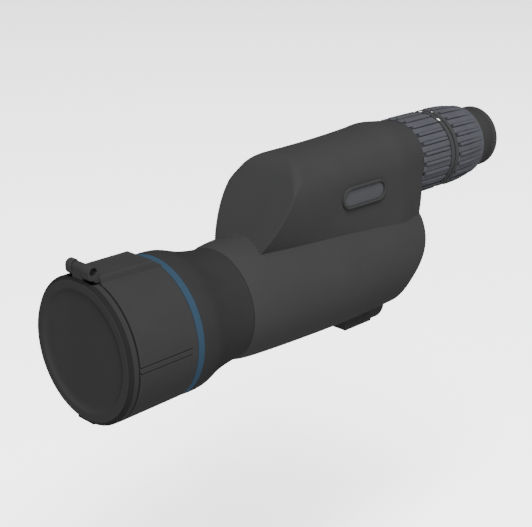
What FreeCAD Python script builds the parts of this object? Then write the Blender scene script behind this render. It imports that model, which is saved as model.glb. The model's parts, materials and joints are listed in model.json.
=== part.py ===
"""Spotting scope: 80 mm objective, light path folded by two mirrors, zoom eyepiece.

Frame: millimetres, +Z up, objective towards -Y, eyepiece towards +Y.
The origin is the mouth of the tripod thread, in the middle of the foot's underside.
Stations along Y are given from one of two datums: RING_Y in front, REAR_Y behind.
"""
import FreeCAD
import Part
import math
import os

Vec = FreeCAD.Vector
os.makedirs("parts", exist_ok=True)

# ---- driving dimensions -------------------------------------------------------------
OBJ_Z = 50.6                # objective axis above the foot's underside
EYE_Z = OBJ_Z + 68.5        # eyepiece axis
RING_Y = -192.0             # front edge of the accent ring
REAR_Y = 57.8               # rear face of the body
RUN = 0.05                  # radial clearance of parts that turn or slide in each other

FOOT_HALF_X = 18.0
FOOT_HALF_Y = 15.0
THREAD_R = 3.175            # quarter inch tripod thread
THREAD_LENGTH = 6.4

SKIN = 1.6                  # rubber armour
WALL = 2.4                  # cast housing
SEAM_Y = RING_Y + 58.6      # front edge of the armour

SHADE_FRONT_Y = RING_Y - 48.3
SHADE_R_FRONT = 50.1
SHADE_R_REAR = 49.3
SHADE_BORE_R = 47.3
INNER_TUBE_R = 46.0         # fixed tube that the sunshade slides on
INNER_BORE_R = 43.4

HINGE_Y = RING_Y - 52.5
HINGE_Z = OBJ_Z + 56.0
HINGE_PIN_R = 1.5
EAR_NEAR_X = 12.7           # outer faces of the two hinge ears
EAR_FAR_X = -11.2
ARM_HALF_X = 4.9
ARM_GAP = 0.8
COVER_FACE_Y = RING_Y - 56.0
COVER_BACK_Y = RING_Y - 49.6
COVER_R = 50.0
TAB_LOW_Z = 1.6             # thumb tab at the foot of the cover

LENS_R = 41.0
REAR_MIRROR_Y = RING_Y + 211.0
FRONT_MIRROR_Y = RING_Y + 124.0
FOLD_ANGLE = math.degrees(math.atan2(EYE_Z - OBJ_Z, REAR_MIRROR_Y - FRONT_MIRROR_Y))
MIRROR_TILT = FOLD_ANGLE / 2.0      # from upright, both fold mirrors

EYE_TUBE_R = 26.0
EYE_BORE_R = 24.4
OCULAR_R = 18.6             # bore that the ocular slides in
CUP_SEAT_R = 20.4           # rear of the eyepiece tube, which carries the eyecup
CORE_R = 29.3               # ring cores under their rubber grips
GRIP_R = 31.0
BAND_R = 30.9
RIDGES = 24
ZOOM_ANGLE = 150.0
FRONT_ERECTOR_TRAVEL = 12.0
REAR_ERECTOR_TRAVEL = 7.0
FOCUS_ANGLE = 150.0         # each way from the middle
FOCUS_TRAVEL = 3.0
CUP_ANGLE = 120.0
CUP_LIFT = 8.0


# ---- helpers ------------------------------------------------------------------------
def save(name, shape):
    """Write one sub-part and print what it holds."""
    solids = shape.Solids
    shape = solids[0] if len(solids) == 1 else Part.makeCompound(solids)
    shape.exportStep("parts/%s.step" % name)
    print("%-26s solids %2d  volume %9.1f  valid %s" % (name, len(solids), shape.Volume, shape.isValid()))


def line(a, b):
    return Part.LineSegment(Vec(*a), Vec(*b)).toShape()


def loop_face(edges):
    """Flat face inside edges given in any order."""
    return Part.Face(Part.Wire(Part.__sortEdges__(edges)))


def spin(face, axis_z, angle=360.0):
    """Turn a face about the line along Y at height axis_z."""
    return face.revolve(Vec(0, 0, axis_z), Vec(0, 1, 0), angle)


def revolve(outline, axis_z):
    """Turned part from a closed outline of (y, r) corners."""
    points = [Vec(r, y, axis_z) for y, r in outline]
    return spin(Part.Face(Part.makePolygon(points + points[:1])), axis_z)


def rod(y0, y1, r, axis_z):
    return Part.makeCylinder(r, y1 - y0, Vec(0, y0, axis_z), Vec(0, 1, 0))


def ring(y0, y1, r_out, r_in, axis_z):
    """Plain tube along Y."""
    return rod(y0, y1, r_out, axis_z).cut(rod(y0 - 1, y1 + 1, r_in, axis_z))


def cross_rod(x0, x1, r, y, z):
    return Part.makeCylinder(r, x1 - x0, Vec(x0, y, z), Vec(1, 0, 0))


def box(x0, x1, y0, y1, z0, z1):
    return Part.makeBox(x1 - x0, y1 - y0, z1 - z0, Vec(x0, y0, z0))


def radial_pin(r_in, r_out, pin_r, y, axis_z, angle):
    """Pin that points away from an axis along Y; angle 0 is +X, right hand about +Y."""
    pin = Part.makeCylinder(pin_r, r_out - r_in, Vec(r_in, y, axis_z), Vec(1, 0, 0))
    pin.rotate(Vec(0, 0, axis_z), Vec(0, 1, 0), angle)
    return pin


def radial_slot(r_in, r_out, width, y0, y1, axis_z, angle):
    """Cutter for a straight slot along Y, with round ends centred on y0 and y1."""
    cutter = box(r_in, r_out, y0, y1, axis_z - width / 2, axis_z + width / 2)
    cutter.rotate(Vec(0, 0, axis_z), Vec(0, 1, 0), angle)
    for y in (y0, y1):
        cutter = cutter.fuse(radial_pin(r_in, r_out, width / 2, y, axis_z, angle))
    return cutter


def side_prism(edges, half_width):
    """Solid between two copies of an outline in the YZ plane."""
    face = loop_face(edges)
    face.translate(Vec(-half_width, 0, 0))
    return face.extrude(Vec(2 * half_width, 0, 0))


def polygon_prism(corners, x0, x1):
    """Solid between x0 and x1 with a straight-sided outline of (y, z) corners."""
    points = [Vec(x0, y, z) for y, z in corners]
    return Part.Face(Part.makePolygon(points + points[:1])).extrude(Vec(x1 - x0, 0, 0))


def slot_prism(y_mid, z_mid, length, height, x0, x1):
    """Solid along X with a slot-shaped outline, long side along Y."""
    r = height / 2.0
    left, right = y_mid - length / 2.0 + r, y_mid + length / 2.0 - r
    middle = box(x0, x1, left, right, z_mid - r, z_mid + r)
    return middle.fuse([cross_rod(x0, x1, r, y, z_mid) for y in (left, right)])


def lens_side(y, bulge, radius, axis_z):
    """Half section of one lens surface: a round cap, then a flat land at the rim."""
    cap_r = radius * 0.92
    land = line((cap_r, y, axis_z), (radius, y, axis_z))
    if bulge == 0:
        return [line((0, y, axis_z), (cap_r, y, axis_z)), land]
    sphere_r = (cap_r ** 2 + bulge ** 2) / (2.0 * abs(bulge))
    half_way = math.copysign(abs(bulge) - sphere_r + math.sqrt(sphere_r ** 2 - cap_r ** 2 / 4.0), bulge)
    cap = Part.Arc(Vec(0, y + bulge, axis_z), Vec(cap_r / 2.0, y + half_way, axis_z), Vec(cap_r, y, axis_z))
    return [cap.toShape(), land]


def lens(y_front, y_back, radius, bulge_front, bulge_back, axis_z):
    """Round lens with its rim between y_front and y_back; a negative bulge is hollow."""
    edges = lens_side(y_front, -bulge_front, radius, axis_z) + lens_side(y_back, bulge_back, radius, axis_z)
    edges.append(line((radius, y_front, axis_z), (radius, y_back, axis_z)))
    edges.append(line((0, y_front - bulge_front, axis_z), (0, y_back + bulge_back, axis_z)))
    return spin(loop_face(edges), axis_z)


def helical_slot(r_in, r_out, width, y0, y1, angle0, angle1, axis_z):
    """Cutter for a slot that climbs from (y0, angle0) to (y1, angle1) about an axis along Y."""
    turn, climb = angle1 - angle0, y1 - y0
    r_mid, depth = (r_in + r_out) / 2.0, r_out - r_in
    pitch = climb * 360.0 / turn
    helix = Part.makeHelix(pitch, climb, r_mid)
    along = Vec(0, 2 * math.pi * r_mid, pitch).normalize()
    across = Vec(1, 0, 0).cross(along).normalize()
    corners = [Vec(r_mid, 0, 0) + across * (a * width / 2.0) + Vec(b * depth / 2.0, 0, 0)
               for a, b in ((-1, -1), (1, -1), (1, 1), (-1, 1))]
    cutter = Part.Wire(helix.Edges).makePipeShell([Part.makePolygon(corners + corners[:1])], True, True)
    cutter.rotate(Vec(0, 0, 0), Vec(1, 0, 0), -90)
    cutter.translate(Vec(0, y0, axis_z))
    cutter.rotate(Vec(0, 0, axis_z), Vec(0, 1, 0), angle0)
    for y, angle in ((y0, angle0), (y1, angle1)):
        cutter = cutter.fuse(radial_pin(r_in - 0.3, r_out + 0.3, width * 0.51, y, axis_z, angle))
    return cutter


# ---- shape of the body --------------------------------------------------------------
# Upper housing: y behind RING_Y, half width at the eyepiece axis, crown height above
# that axis, half width at the foot of the wall.
HUMP_STATIONS = [
    (66.0, 32.6, 27.6, 16.0), (82.0, 32.8, 27.6, 19.0), (100.0, 33.0, 27.7, 22.8), (130.0, 32.8, 27.9, 27.2),
    (160.0, 32.5, 28.5, 30.2), (190.0, 32.6, 29.8, 32.2), (210.0, 33.0, 31.1, 33.2),
    (224.0, 33.3, 32.3, 33.5), (238.0, 31.4, 30.9, 31.8), (252.0, 29.2, 29.1, 29.6),
]
SHOULDER = 2.4                      # over 2: the crown is flatter and its shoulders fuller than an ellipse
# Lower lobe: y behind RING_Y and radius.
LOBE_STATIONS = [
    (58.6, 40.4), (64.0, 41.7), (71.0, 42.6), (82.0, 43.3), (102.0, 44.2), (125.0, 44.9),
    (150.0, 45.5), (175.0, 45.5), (200.0, 45.1), (225.0, 44.3), (256.0, 42.7),
]
# Rear outline in side view, top to bottom: y behind RING_Y, height above the objective axis.
TAIL_STATIONS = [
    (249.8, 46.4), (248.4, 33.0), (245.0, 20.0), (239.8, 7.0), (233.2, -4.5),
    (227.6, -13.5), (224.4, -22.5), (223.2, -32.0), (223.0, -41.5),
]
WALL_FOOT_Z = OBJ_Z + 28.0
NOSE_SLOPE = math.radians(58.0)
NOSE_FOOT = (77.5, 32.0)            # a point of the nose: behind RING_Y, above OBJ_Z
NOSE_TOP = 98.2                     # brow above the objective axis
NOSE_ROUND = 27.0
HEEL_BOTTOM = 1.2
HEEL_END_Y = RING_Y + 223.0
HEEL_ROUND = 9.0
SIDE_REACH = 60.0


def hump_section(station, inset):
    """Closed section of the upper housing: full-shouldered crown on leaning walls."""
    behind, half, crown, foot = station
    y = RING_Y + behind
    half, crown, foot = half - inset, crown - inset, foot - inset
    points = []
    for k in range(13):
        across, up = math.cos(math.pi * k / 12.0), abs(math.sin(math.pi * k / 12.0))
        x = math.copysign(half * abs(across) ** (2.0 / SHOULDER), across)
        points.append(Vec(x, y, EYE_Z + crown * up ** (2.0 / SHOULDER)))
    points[6].x, points[0].z, points[12].z = 0.0, EYE_Z, EYE_Z
    curve = Part.BSplineCurve()
    curve.interpolate(Points=points, InitialTangent=Vec(0, 0, 1), FinalTangent=Vec(0, 0, -1))
    edges = [curve.toShape()]
    for side in (-1, 1):
        wall = Part.BezierCurve()
        wall.setPoles([Vec(side * half, y, EYE_Z), Vec(side * half, y, EYE_Z - 14.0),
                       Vec(side * foot, y, WALL_FOOT_Z)])
        edges.append(wall.toShape())
    edges.append(line((foot, y, WALL_FOOT_Z), (-foot, y, WALL_FOOT_Z)))
    return Part.Wire(Part.__sortEdges__(edges))


def rear_edge(inset):
    """Rear outline of the body in side view, with its two end points."""
    points = [Vec(0, RING_Y + y - inset * 1.15, OBJ_Z + z) for y, z in TAIL_STATIONS]
    curve = Part.BSplineCurve()
    curve.interpolate(Points=points, InitialTangent=Vec(0, 0, -1), FinalTangent=Vec(0, 0, -1))
    return curve.toShape(), points[0], points[-1]


def hump_solid(inset):
    """Upper housing, made smaller all round by inset: section cut to its side view."""
    loft = Part.makeLoft([hump_section(s, inset) for s in HUMP_STATIONS], True, False)
    uphill = Vec(0, math.cos(NOSE_SLOPE), math.sin(NOSE_SLOPE))
    foot = Vec(0, RING_Y + NOSE_FOOT[0] + inset / uphill.z, OBJ_Z + NOSE_FOOT[1])
    foot = foot - uphill * (NOSE_FOOT[1] / uphill.z)
    corner = foot + uphill * ((OBJ_Z + NOSE_TOP - inset - foot.z) / uphill.z)
    tangent = NOSE_ROUND * math.tan(NOSE_SLOPE / 2.0)
    brow_low, brow_high = corner - uphill * tangent, corner + Vec(0, tangent, 0)
    middle_angle = math.pi / 2.0 + NOSE_SLOPE / 2.0
    brow_middle = brow_high + Vec(0, math.cos(middle_angle), math.sin(middle_angle) - 1.0) * NOSE_ROUND
    rear, rear_top, rear_low = rear_edge(inset)
    over, under = EYE_Z + SIDE_REACH, OBJ_Z - SIDE_REACH
    corners = [brow_high, Vec(0, brow_high.y, over), Vec(0, rear_top.y, over), rear_top]
    bottom = [rear_low, Vec(0, rear_low.y, under), Vec(0, foot.y, under), foot, brow_low]
    edges = [rear, Part.Arc(brow_low, brow_middle, brow_high).toShape()]
    for path in (corners, bottom):
        edges += [line(a, b) for a, b in zip(path, path[1:])]
    return loft.common(side_prism(edges, SIDE_REACH))


def lobe_solid(inset):
    """Lower lobe, made smaller all round by inset: turned body cut to its side view."""
    points = [Vec(r - inset, RING_Y + y, OBJ_Z) for y, r in LOBE_STATIONS]
    curve = Part.BSplineCurve()
    curve.interpolate(points)
    start, end = Vec(0, points[0].y, OBJ_Z), Vec(0, points[-1].y, OBJ_Z)
    edges = [curve.toShape(), line(points[-1], end), line(end, start), line(start, points[0])]
    turned = spin(loop_face(edges), OBJ_Z)
    rear, rear_top, rear_low = rear_edge(inset)
    over, under = OBJ_Z + SIDE_REACH, OBJ_Z - SIDE_REACH
    path = [rear_low, Vec(0, rear_low.y, under), Vec(0, SEAM_Y - 1, under), Vec(0, SEAM_Y - 1, over),
            Vec(0, rear_top.y, over), rear_top]
    return turned.common(side_prism([rear] + [line(a, b) for a, b in zip(path, path[1:])], SIDE_REACH))


def body_solid(inset):
    return lobe_solid(inset).fuse(hump_solid(inset))


def heel_solid():
    """Moulded heel behind the foot: flat underneath, rounded up at its end."""
    start_y, top = FOOT_HALF_Y - 1.0, OBJ_Z - 20.0
    flat_end = HEEL_END_Y - HEEL_ROUND
    short = HEEL_ROUND * (1.0 - math.sqrt(0.5))
    round_end = Part.Arc(Vec(0, flat_end, HEEL_BOTTOM), Vec(0, HEEL_END_Y - short, HEEL_BOTTOM + short),
                         Vec(0, HEEL_END_Y, HEEL_BOTTOM + HEEL_ROUND)).toShape()
    path = [(0, HEEL_END_Y, HEEL_BOTTOM + HEEL_ROUND), (0, HEEL_END_Y, top), (0, start_y, top),
            (0, start_y, HEEL_BOTTOM), (0, flat_end, HEEL_BOTTOM)]
    return side_prism([round_end] + [line(a, b) for a, b in zip(path, path[1:])], FOOT_HALF_X)


# ---- badge --------------------------------------------------------------------------
BADGE_Y = RING_Y + 177.3
BADGE_Z = OBJ_Z + 61.6
BADGE_LENGTH = 47.0
BADGE_HEIGHT = 16.6
BADGE_RIM = 2.0
BADGE_PROUD = 2.0
PLATE_PROUD = 0.5
PLATE_DEPTH = 0.7


def badge_rim_and_plate():
    """Raised rim of armour and the blank plate inside it, both following the wall."""
    outline = slot_prism(BADGE_Y, BADGE_Z, BADGE_LENGTH, BADGE_HEIGHT, 20.0, 40.0)
    window = slot_prism(BADGE_Y, BADGE_Z, BADGE_LENGTH - 2 * BADGE_RIM, BADGE_HEIGHT - 2 * BADGE_RIM, 20.0, 40.0)
    rim = hump_solid(-BADGE_PROUD).common(outline).cut(hump_solid(SKIN / 2)).cut(window)
    plate = hump_solid(-PLATE_PROUD).common(window).cut(hump_solid(PLATE_DEPTH))
    return rim, plate


# ---- housing, armour and foot -------------------------------------------------------
SCREW_SPOTS = [(x, y) for x in (-12.0, 12.0) for y in (-10.0, 10.0)]
SCREW_TOP = 10.6
SPIGOT_R = 36.4
COLLAR_FRONT_Y = REAR_Y - 16.0


def upright(r, z0, z1, x=0.0, y=0.0):
    return Part.makeCylinder(r, z1 - z0, Vec(x, y, z0))


def build_body():
    """Armour, housing, badge, foot plate, its screws and the thread insert."""
    shell_outside = body_solid(SKIN)
    foot_block = box(-FOOT_HALF_X, FOOT_HALF_X, -FOOT_HALF_Y, FOOT_HALF_Y, 0, OBJ_Z - 30.0)
    rim, plate = badge_rim_and_plate()
    save("badge_plate", plate)

    armour = body_solid(0.0).fuse([heel_solid(), rim]).cut(shell_outside).cut(plate).cut(foot_block)
    armour = armour.cut(rod(REAR_Y - 10.0, REAR_Y + 1.0, EYE_TUBE_R + 1.0, EYE_Z))
    save("rubber_armour", armour)

    housing = shell_outside.cut(body_solid(SKIN + WALL))
    neck = ring(SEAM_Y, SEAM_Y + 12.0, 38.5, SPIGOT_R, OBJ_Z).common(shell_outside)
    collar = ring(COLLAR_FRONT_Y, REAR_Y - 2.0, EYE_TUBE_R + 2.2, EYE_TUBE_R, EYE_Z).common(shell_outside)
    housing = housing.fuse([neck, collar]).cut(rod(SEAM_Y - 1.0, SEAM_Y + 12.0, SPIGOT_R, OBJ_Z))
    housing = housing.cut(rod(COLLAR_FRONT_Y, REAR_Y + 1.0, EYE_TUBE_R, EYE_Z))
    for x, y in SCREW_SPOTS:
        housing = housing.cut(upright(1.5, 0, SCREW_TOP, x, y))
    save("main_housing", housing)

    foot = foot_block.cut(shell_outside).cut(upright(5.0, -1.0, OBJ_Z))
    for x, y in SCREW_SPOTS:
        foot = foot.cut(upright(3.0, -1.0, 3.8, x, y)).cut(upright(1.5, 0, SCREW_TOP, x, y))
    save("foot_plate", foot)
    screws = []
    for x, y in SCREW_SPOTS:
        head = upright(2.75, 1.0, 3.8, x, y).cut(upright(1.3, 0.0, 2.6, x, y))
        screws.append(head.fuse(upright(1.5, 3.8, SCREW_TOP, x, y)))
    save("foot_screws", Part.makeCompound(screws))
    save("tripod_thread_insert", upright(5.0, 0.0, THREAD_LENGTH).cut(upright(THREAD_R, -1.0, 20.0)))


# ---- objective ----------------------------------------------------------------------
# Flared neck behind the accent ring: y behind RING_Y and radius.
NECK_STATIONS = [
    (9.0, 49.4), (14.0, 49.25), (18.0, 48.8), (22.0, 47.7), (28.0, 45.6), (34.0, 43.8), (41.0, 42.3),
    (49.0, 41.1), (58.4, 40.2),
]


def build_barrel():
    """Fixed tube under the sunshade, flared neck and threaded spigot in one piece."""
    curve = Part.BSplineCurve()
    curve.interpolate([Vec(r, RING_Y + y, OBJ_Z) for y, r in NECK_STATIONS])
    neck_start, neck_end = NECK_STATIONS[0], NECK_STATIONS[-1]
    path = [
        neck_end, (58.6, 40.0), (58.6, SPIGOT_R), (70.0, SPIGOT_R), (70.0, 34.5), (56.0, 34.5),
        (48.0, 37.4), (27.0, INNER_BORE_R), (-46.0, INNER_BORE_R), (-46.0, SHADE_BORE_R - 0.1),
        (-42.0, SHADE_BORE_R - 0.1), (-42.0, INNER_TUBE_R), (-1.0, INNER_TUBE_R), (0.0, 46.4), (5.3, 46.4),
        (5.3, 48.9), (5.7, 49.3), neck_start,
    ]
    points = [(r, RING_Y + y, OBJ_Z) for y, r in path]
    face = loop_face([curve.toShape()] + [line(a, b) for a, b in zip(points, points[1:])])
    barrel = spin(face, OBJ_Z).cut(ring(RING_Y + 62.0, RING_Y + 64.0, SPIGOT_R + 1, SPIGOT_R - 1.2, OBJ_Z))
    save("objective_barrel", barrel)
    save("barrel_o_ring", ring(RING_Y + 62.1, RING_Y + 63.9, SPIGOT_R, SPIGOT_R - 1.2, OBJ_Z))
    save("accent_ring", revolve([(RING_Y + y, r) for y, r in
                                 ((0.0, 46.4), (0.0, 48.7), (0.3, 49.0), (5.0, 49.1), (5.3, 48.9), (5.3, 46.4))],
                                OBJ_Z))


def build_objective():
    """Air-spaced pair of lenses in a cell, held by a ring and sealed in the barrel."""
    def at(y):
        return RING_Y + y

    cell = revolve([(at(y), r) for y, r in
                    ((-12.0, 43.38), (12.0, 43.38), (12.0, 38.5), (6.0, 38.5), (6.0, LENS_R), (-12.0, LENS_R))],
                   OBJ_Z)
    save("objective_cell", cell.cut(ring(at(7.0), at(9.0), 44.0, 42.2, OBJ_Z)))
    save("objective_o_ring", ring(at(7.1), at(8.9), 43.38, 42.2, OBJ_Z))
    save("objective_front_lens", lens(at(-8.0), at(-3.0), LENS_R, 3.5, 3.0, OBJ_Z))
    save("objective_spacer", ring(at(-3.0), at(-2.2), LENS_R, 40.4, OBJ_Z))
    save("objective_rear_lens", lens(at(-2.2), at(6.0), LENS_R, -3.0, 0.0, OBJ_Z))
    save("objective_retaining_ring", ring(at(-10.6), at(-8.0), LENS_R, 39.4, OBJ_Z))
    save("cell_lock_ring", ring(at(12.0), at(15.0), 43.38, 40.0, OBJ_Z))
    tube = [(58.0, 34.5), (70.0, 34.5), (72.0, 33.6), (150.0, 28.4), (150.0, 26.6), (148.8, 26.6)]
    for y, r in ((148.8, 27.6), (122.0, 29.4), (96.0, 31.1), (72.0, 32.7)):
        tube += [(y, r), (y - 1.2, r - 0.9)] if y < 148 else [(y, r)]
    tube += [(70.0, 33.3), (58.0, 33.3)]
    save("light_baffle", revolve([(at(y), r) for y, r in tube], OBJ_Z))


# ---- fold mirrors -------------------------------------------------------------------
def mirror_frame(shape, y, z, facing):
    """Place a shape made with its reflecting face on x-z at y = 0, body towards +Y."""
    if facing > 0:
        shape.rotate(Vec(0, 0, 0), Vec(0, 0, 1), 180)
    shape.rotate(Vec(0, 0, 0), Vec(1, 0, 0), -MIRROR_TILT)
    shape.translate(Vec(0, y, z))
    return shape


def build_mirror(name, y, z, facing, half_x, half_z, thickness, low, high):
    """One fold mirror, its mount across the housing, and three adjusting screws."""
    mirror = box(-half_x, half_x, 0, thickness, -half_z, half_z)
    save(name, mirror_frame(mirror, y, z, facing))
    plate_y = thickness + 2.0
    plate = box(-SIDE_REACH, SIDE_REACH, plate_y, plate_y + 3.0, -SIDE_REACH, SIDE_REACH)
    spots = ((0.0, half_z * 0.7), (half_x * 0.7, -half_z * 0.6), (-half_x * 0.7, -half_z * 0.6))
    screws = []
    for x, dz in spots:
        shank = Part.makeCylinder(1.5, 5.0, Vec(x, thickness, dz), Vec(0, 1, 0))
        plate = plate.cut(shank)
        screws.append(shank.fuse(Part.makeCylinder(2.7, 2.0, Vec(x, thickness + 5.0, dz), Vec(0, 1, 0))))
    inside = body_solid(SKIN + WALL).common(box(-SIDE_REACH, SIDE_REACH, -300, 300, low, high))
    save(name + "_mount", mirror_frame(plate, y, z, facing).common(inside))
    return [mirror_frame(screw, y, z, facing) for screw in screws]


def build_mirrors():
    screws = build_mirror("rear_mirror", REAR_MIRROR_Y, OBJ_Z, -1, 20.0, 21.0, 6.0, 0.0, OBJ_Z + 26.0)
    screws += build_mirror("front_mirror", FRONT_MIRROR_Y, EYE_Z, 1, 13.0, 12.0, 5.0, OBJ_Z + 48.0, 200.0)
    save("mirror_screws", Part.makeCompound(screws))


# ---- sunshade and cover -------------------------------------------------------------
BLOCK_TOP = OBJ_Z + 52.3
BLOCK_HALF_TOP = 13.2
BLOCK_HALF_BASE = 14.9
GROOVE_ANGLES = (2.4, -2.4, 177.6, 182.4)
HEX_AF = 5.2


def hexagon(x0, x1, across_flats):
    corners = []
    for k in range(6):
        a = math.radians(60.0 * k)
        r = across_flats / math.sqrt(3.0)
        corners.append((HINGE_Y + r * math.cos(a), HINGE_Z + r * math.sin(a)))
    return polygon_prism(corners, x0, x1)


def hinge_ear(x0, x1):
    """Plate that carries one end of the hinge pin in front of the block."""
    plate = polygon_prism([(RING_Y + y, OBJ_Z + z) for y, z in
                           ((-48.72, 56.4), (-46.6, 52.3), (-46.6, 48.4), (-51.2, 48.6), (-55.2, 50.9),
                            (-56.4, 52.6), (-56.2, 56.4))], x0, x1)
    return plate.fuse(cross_rod(x0, x1, 3.8, HINGE_Y, HINGE_Z))


def build_sunshade():
    """Sliding sunshade with the hinge block, its ears, pin, nut and guide ring."""
    def at(y):
        return RING_Y + y

    shell = revolve([(at(y), r) for y, r in
                     ((-48.3, 49.5), (-47.7, SHADE_R_FRONT), (-0.8, SHADE_R_REAR), (-0.3, 48.8),
                      (-0.3, SHADE_BORE_R), (-48.3, SHADE_BORE_R))], OBJ_Z)
    section = [Vec(x, at(-48.3), z) for x, z in
               ((-BLOCK_HALF_BASE, OBJ_Z + 46.0), (BLOCK_HALF_BASE, OBJ_Z + 46.0),
                (BLOCK_HALF_TOP, BLOCK_TOP), (-BLOCK_HALF_TOP, BLOCK_TOP))]
    block = Part.Face(Part.makePolygon(section + section[:1])).extrude(Vec(0, 48.0, 0))
    ramp = polygon_prism([(at(-6.0), BLOCK_TOP), (at(0.5), BLOCK_TOP - 4.4), (at(0.5), BLOCK_TOP + 5)], -20, 20)
    block = block.cut(ramp).cut(rod(at(-50), at(1), SHADE_BORE_R, OBJ_Z))
    ears = [hinge_ear(ARM_HALF_X + ARM_GAP, EAR_NEAR_X), hinge_ear(EAR_FAR_X, -ARM_HALF_X - ARM_GAP)]
    shade = shell.fuse([block] + ears)
    shade = shade.cut(cross_rod(-20, 20, HINGE_PIN_R, HINGE_Y, HINGE_Z))
    shade = shade.cut(hexagon(8.7, 20.0, HEX_AF)).cut(cross_rod(-20.0, -9.4, 2.8, HINGE_Y, HINGE_Z))
    for angle in GROOVE_ANGLES:
        groove = box(SHADE_R_REAR - 0.1, 60.0, at(-49.0), at(-5.5), OBJ_Z - 0.35, OBJ_Z + 0.35)
        notch = box(48.6, 60.0, at(-49.0), at(-47.4), OBJ_Z - 0.7, OBJ_Z + 0.7)
        cutter = groove.fuse(notch)
        cutter.rotate(Vec(0, 0, OBJ_Z), Vec(0, 1, 0), angle)
        shade = shade.cut(cutter)
    save("sunshade", shade)
    save("shade_guide_ring", ring(at(-8.0), at(-2.0), SHADE_BORE_R, INNER_TUBE_R + RUN, OBJ_Z))
    pin = cross_rod(-10.7, 10.7, HINGE_PIN_R, HINGE_Y, HINGE_Z)
    pin = pin.fuse(cross_rod(-10.9, -9.4, 2.7, HINGE_Y, HINGE_Z)).cut(cross_rod(-12.0, -10.1, 1.1, HINGE_Y, HINGE_Z))
    save("hinge_pin", pin)
    save("hinge_nut", hexagon(8.7, 10.7, HEX_AF - 0.2).cut(cross_rod(8.0, 12.0, HINGE_PIN_R, HINGE_Y, HINGE_Z)))


def build_cover():
    """Flip-up cover: dished face, bevelled rim, hinge arm, thumb tab, plug ring and seal."""
    def at(y):
        return RING_Y + y

    disc = revolve([(at(y), r) for y, r in
                    ((-54.2, 0.0), (-54.2, 36.0), (-55.0, 40.0), (-56.0, 41.6), (-56.0, 47.0), (-53.2, COVER_R),
                     (-49.6, COVER_R), (-49.6, 46.8), (-51.6, 46.8), (-51.6, 0.0))], OBJ_Z)
    notch = box(-13.8, 13.8, at(-54.3), at(-40.0), OBJ_Z + 47.3, OBJ_Z + 70)
    arm = box(-ARM_HALF_X, ARM_HALF_X, at(-56.0), at(-53.0), OBJ_Z + 44.0, HINGE_Z)
    barrel = cross_rod(-ARM_HALF_X, ARM_HALF_X, 3.5, HINGE_Y, HINGE_Z)
    tab = box(-8.0, 8.5, at(-55.6), at(-49.6), TAB_LOW_Z, 3.5)
    lug = box(-ARM_HALF_X, ARM_HALF_X, at(-54.0), at(-51.0), OBJ_Z + 47.0, HINGE_Z)
    cover = disc.cut(notch).fuse([arm, lug, barrel, tab])
    cover = cover.cut(cross_rod(-20, 20, HINGE_PIN_R + RUN, HINGE_Y, HINGE_Z))
    save("objective_cover", cover)
    save("cover_plug_ring", ring(at(-51.6), at(-46.5), 46.8, 45.2, OBJ_Z))
    save("cover_seal", ring(at(-51.6), at(-50.4), 45.1, 41.0, OBJ_Z))


# ---- eyepiece -----------------------------------------------------------------------
ZOOM_PIN_Y = REAR_Y + 26.0
FOCUS_PIN_Y = REAR_Y + 64.0
CUP_PIN_Y = REAR_Y + 84.0
FRONT_ERECTOR_Y = REAR_Y - 16.0
REAR_ERECTOR_Y = REAR_Y + 14.0
CAM_R_OUT = 24.35
CAM_R_IN = 22.55
GUIDE_R_IN = 20.5
PIN_R = 1.5


def build_eyepiece_tube():
    """Fixed eyepiece tube, its lock ring, the erector guide tube and the reticle."""
    def at(y):
        return REAR_Y + y

    tube = revolve([(at(y), r) for y, r in
                    ((-22.0, EYE_TUBE_R), (80.6, EYE_TUBE_R), (80.6, CUP_SEAT_R), (96.0, CUP_SEAT_R),
                     (96.0, OCULAR_R), (42.0, OCULAR_R), (42.0, EYE_BORE_R), (-22.0, EYE_BORE_R))], EYE_Z)
    half = PIN_R + RUN
    slot_face = Part.Face(Part.makePolygon([Vec(r, y, EYE_Z) for r, y in
                          ((23.0, ZOOM_PIN_Y - half), (27.0, ZOOM_PIN_Y - half), (27.0, ZOOM_PIN_Y + half),
                           (23.0, ZOOM_PIN_Y + half), (23.0, ZOOM_PIN_Y - half))]))
    slot_face.rotate(Vec(0, 0, EYE_Z), Vec(0, 1, 0), -95.0)
    tube = tube.cut(spin(slot_face, EYE_Z, ZOOM_ANGLE + 10.0))
    tube = tube.cut(radial_slot(17.0, 27.0, 2 * half, FOCUS_PIN_Y - FOCUS_TRAVEL, FOCUS_PIN_Y + FOCUS_TRAVEL,
                                EYE_Z, 0.0))
    tube = tube.cut(helical_slot(CUP_SEAT_R - 0.8, CUP_SEAT_R + 1.0, 2.6, CUP_PIN_Y, CUP_PIN_Y + CUP_LIFT,
                                 -90.0, -90.0 + CUP_ANGLE, EYE_Z))
    save("eyepiece_tube", tube)
    save("eyepiece_lock_ring", ring(at(-20.5), at(-16.0), 27.3, EYE_TUBE_R, EYE_Z))
    guide = ring(at(-50.0), at(42.0), CAM_R_IN - RUN, GUIDE_R_IN, EYE_Z)
    for y0, y1, angle in ((FRONT_ERECTOR_Y - FRONT_ERECTOR_TRAVEL, FRONT_ERECTOR_Y, 0.0),
                          (REAR_ERECTOR_Y - REAR_ERECTOR_TRAVEL, REAR_ERECTOR_Y, 180.0)):
        guide = guide.cut(radial_slot(19.0, 24.0, 2 * half, y0, y1, EYE_Z, angle))
    save("erector_guide_tube", guide)
    save("reticle_glass", rod(at(43.0), at(45.0), OCULAR_R, EYE_Z))
    save("reticle_ring", ring(at(45.0), at(47.0), OCULAR_R, 15.5, EYE_Z))


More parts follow.
